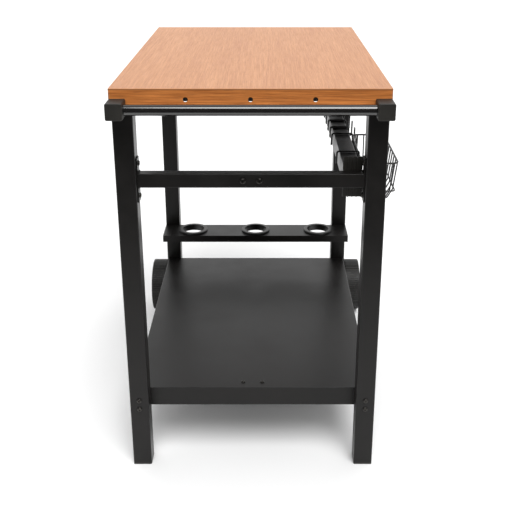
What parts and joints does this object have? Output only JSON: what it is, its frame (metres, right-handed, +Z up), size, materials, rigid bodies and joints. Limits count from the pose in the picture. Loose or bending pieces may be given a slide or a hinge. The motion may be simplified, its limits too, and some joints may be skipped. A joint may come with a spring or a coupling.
{
  "type": "potting bench",
  "caption": "Wheeled potting bench with a wood-grain folded top, black square-tube frame, push bar, lower shelf, ring rack, side basket and hanging tool hooks.",
  "frame": {"origin": "on the floor under the middle of the top", "axes": "+Z up, -Y towards the handle end, +Y towards the wheel end, +X towards the hanging rail's side"},
  "size_m": [0.649, 0.92, 0.885],
  "materials": {
    "wood_grain_sheet": "matte wood-grain film on sheet steel",
    "black_powder_coat": "satin powder coat",
    "gloss_black_tube": "gloss black",
    "black_moulding": "fine-grained black plastic",
    "black_wire": "satin coated wire",
    "black_fasteners": "black oxide",
    "zinc_steel": "zinc plated"
  },
  "bodies": {
    "frame": {"axle": "zinc_steel", "axle_nuts": "black_fasteners", "axle_washers": "zinc_steel", "bottle_rack": "black_powder_coat", "bracket_screws": "black_fasteners", "centre_bolt_nuts": "black_fasteners", "centre_bolts": "black_fasteners", "cross_rail_bolts": "black_fasteners", "cross_rail_handle_end": "black_powder_coat", "cross_rail_plates_handle_end": "black_powder_coat", "cross_rail_plates_wheel_end": "black_powder_coat", "cross_rail_weld_nuts": "black_fasteners", "cross_rail_wheel_end": "black_powder_coat", "foot_left": "black_moulding", "foot_right": "black_moulding", "handle_bar": "gloss_black_tube", "handle_block_left": "black_moulding", "handle_block_right": "black_moulding", "handle_bolts": "black_fasteners", "hanging_rail": "black_powder_coat", "hanging_rail_bracket_handle_end": "black_moulding", "hanging_rail_bracket_wheel_end": "black_moulding", "hanging_rail_screws": "black_fasteners", "leg_cap_left": "black_moulding", "leg_cap_right": "black_moulding", "leg_handle_end_left": "black_powder_coat", "leg_handle_end_right": "black_powder_coat", "leg_wheel_end_left": "black_powder_coat", "leg_wheel_end_right": "black_powder_coat", "lower_shelf": "black_powder_coat", "rack_bolts": "black_fasteners", "rack_ring_left": "black_moulding", "rack_ring_middle": "black_moulding", "rack_ring_right": "black_moulding", "rack_weld_nuts": "black_fasteners", "shelf_bolt_nuts": "black_fasteners", "shelf_bolts": "black_fasteners", "shelf_channel": "black_powder_coat", "shelf_screw_nuts": "black_fasteners", "shelf_screws": "black_fasteners", "tabletop": "wood_grain_sheet", "top_rail_handle_end": "black_powder_coat", "top_rail_left": "black_powder_coat", "top_rail_right": "black_powder_coat", "top_rail_wheel_end": "black_powder_coat", "top_stud_nuts": "black_fasteners", "top_studs": "black_fasteners"},
    "wheel_left": {"wheel_left": "black_moulding", "wheel_cap_left": "black_moulding"},
    "wheel_right": {"wheel_right": "black_moulding", "wheel_cap_right": "black_moulding"},
    "hanging_basket": {"basket": "black_wire", "basket_rim": "black_wire", "basket_hooks": "black_wire"},
    "sliding_hook_1": {"tool_hook_1": "black_wire"},
    "sliding_hook_2": {"tool_hook_2": "black_wire"},
    "sliding_hook_3": {"tool_hook_3": "black_wire"},
    "sliding_hook_4": {"tool_hook_4": "black_wire"}
  },
  "joints": [
    {"name": "wheel_left_spin", "type": "hinge", "parent": "frame", "child": "wheel_left", "pos_m": [-0.301, 0.381, 0.079], "axis": [1, 0, 0], "continuous": true},
    {"name": "wheel_right_spin", "type": "hinge", "parent": "frame", "child": "wheel_right", "pos_m": [0.301, 0.381, 0.079], "axis": [1, 0, 0], "continuous": true},
    {"name": "basket_lift_off", "type": "slide", "parent": "frame", "child": "hanging_basket", "axis": [0, 0, 1], "range_m": [0, 0.06]},
    {"name": "tool_hook_1_slide", "type": "slide", "parent": "frame", "child": "sliding_hook_1", "axis": [0, 1, 0], "range_m": [-0.025, 0.025]},
    {"name": "tool_hook_2_slide", "type": "slide", "parent": "frame", "child": "sliding_hook_2", "axis": [0, 1, 0], "range_m": [-0.025, 0.025]},
    {"name": "tool_hook_3_slide", "type": "slide", "parent": "frame", "child": "sliding_hook_3", "axis": [0, 1, 0], "range_m": [-0.025, 0.025]},
    {"name": "tool_hook_4_slide", "type": "slide", "parent": "frame", "child": "sliding_hook_4", "axis": [0, 1, 0], "range_m": [-0.025, 0.025]}
  ]
}
